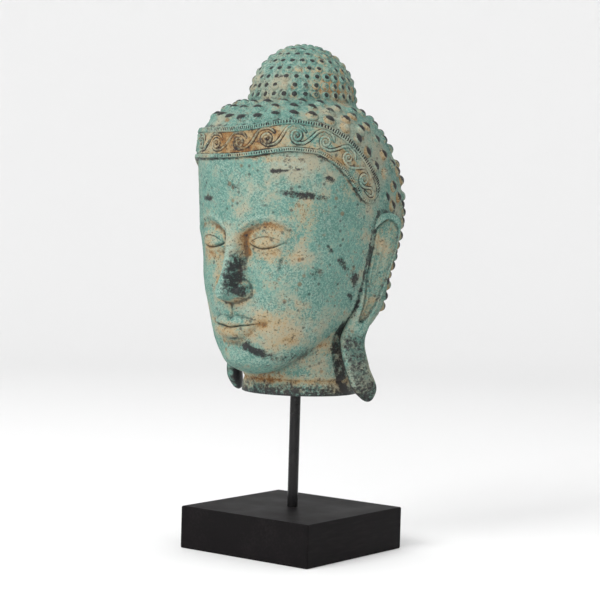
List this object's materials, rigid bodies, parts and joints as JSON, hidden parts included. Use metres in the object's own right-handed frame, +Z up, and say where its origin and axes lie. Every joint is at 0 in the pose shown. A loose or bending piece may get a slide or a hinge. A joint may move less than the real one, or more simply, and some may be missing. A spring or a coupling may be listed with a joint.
{
  "type": "buddha head on stand",
  "caption": "Cast Buddha head with a curled topknot, carved headband and long ears, in a verdigris finish, held upright by a black rod in a square black block.",
  "frame": {"origin": "centre of the block's underside, where the part stands", "axes": "+Z up along the rod, the face looks along -Y, +X is towards the head's own left ear"},
  "size_m": [0.1982, 0.2293, 0.4787],
  "materials": {
    "head": "cast composite with a verdigris, ochre and black patina",
    "rod": "satin black",
    "block": "matt black paint"
  },
  "bodies": {
    "root": {"head": "head", "rod": "rod", "block": "block"}
  },
  "joints": []
}
